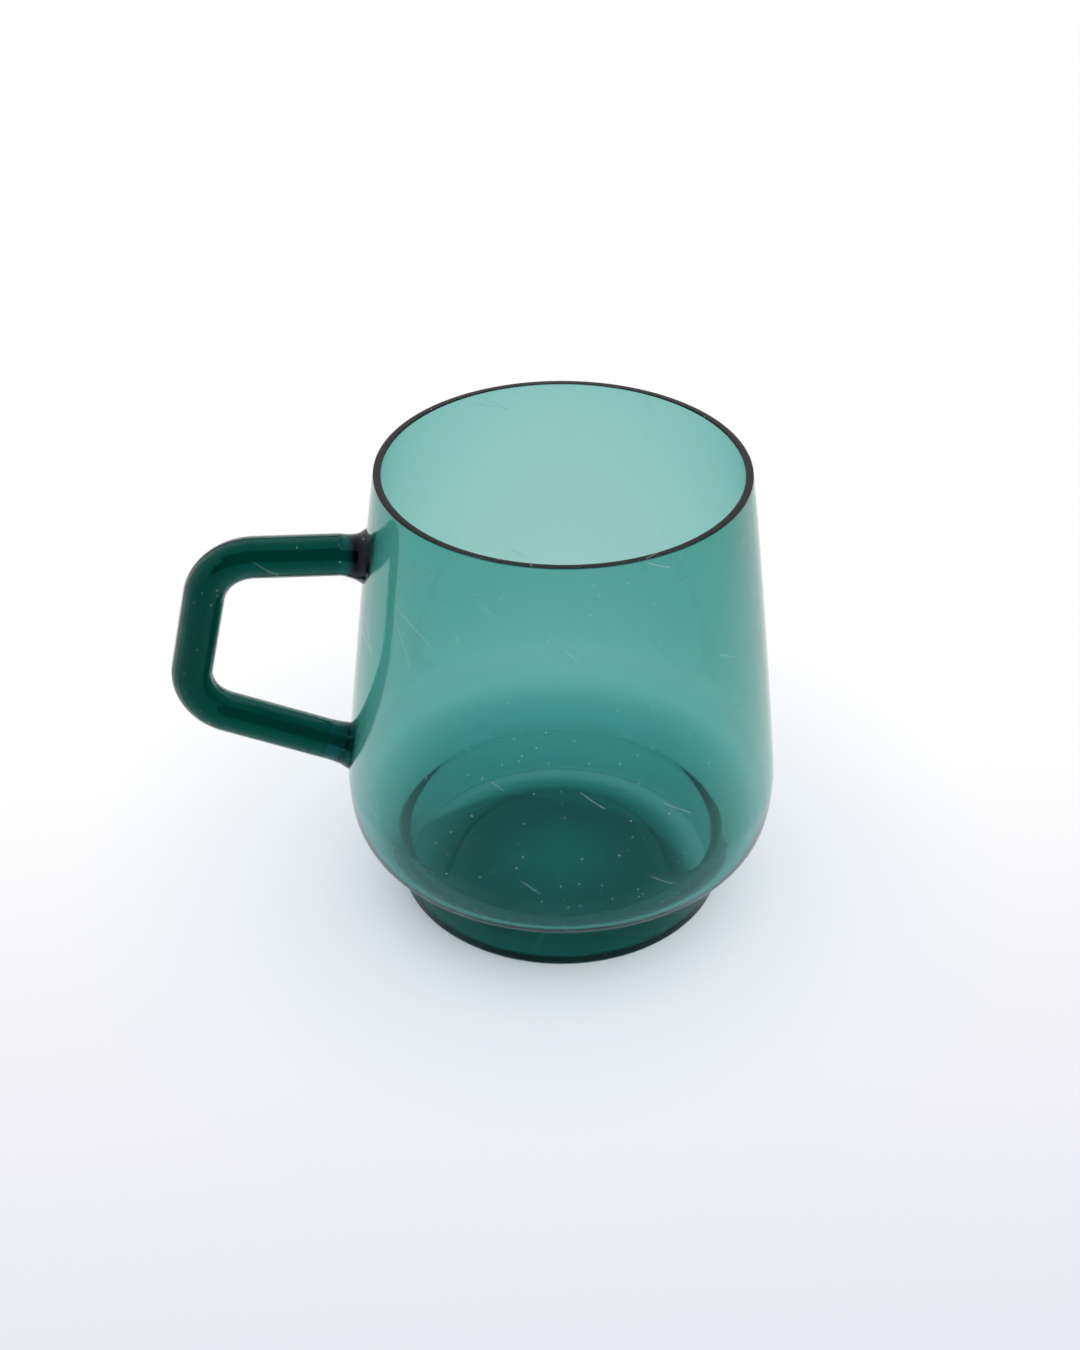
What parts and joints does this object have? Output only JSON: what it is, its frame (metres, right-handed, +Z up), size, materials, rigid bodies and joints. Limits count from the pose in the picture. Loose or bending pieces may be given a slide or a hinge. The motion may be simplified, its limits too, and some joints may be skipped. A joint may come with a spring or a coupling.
{
  "type": "glass mug",
  "caption": "Small tapered mug of transparent blue-green glass with a stepped foot and an angular handle bent from solid glass rod.",
  "frame": {"origin": "the mug's axis at the plane of the table that the foot stands on", "axes": "+Z up along the mug's axis, the handle reaches out along -X, and its three arms lie in the XZ plane"},
  "size_m": [0.121, 0.0874, 0.0955],
  "materials": {
    "bowl_glass": "thin blown blue-green glass, clear and fire-polished",
    "foot_glass": "thick moulded blue-green glass, clear and fire-polished",
    "rod_glass": "solid drawn blue-green glass rod, deep in colour because it is thick",
    "weld_glass": "melted blue-green glass collar, fused to rod and wall"
  },
  "bodies": {
    "root": {"bowl": "bowl_glass", "foot": "foot_glass", "handle": "rod_glass", "upper_weld": "weld_glass", "lower_weld": "weld_glass"}
  },
  "joints": []
}
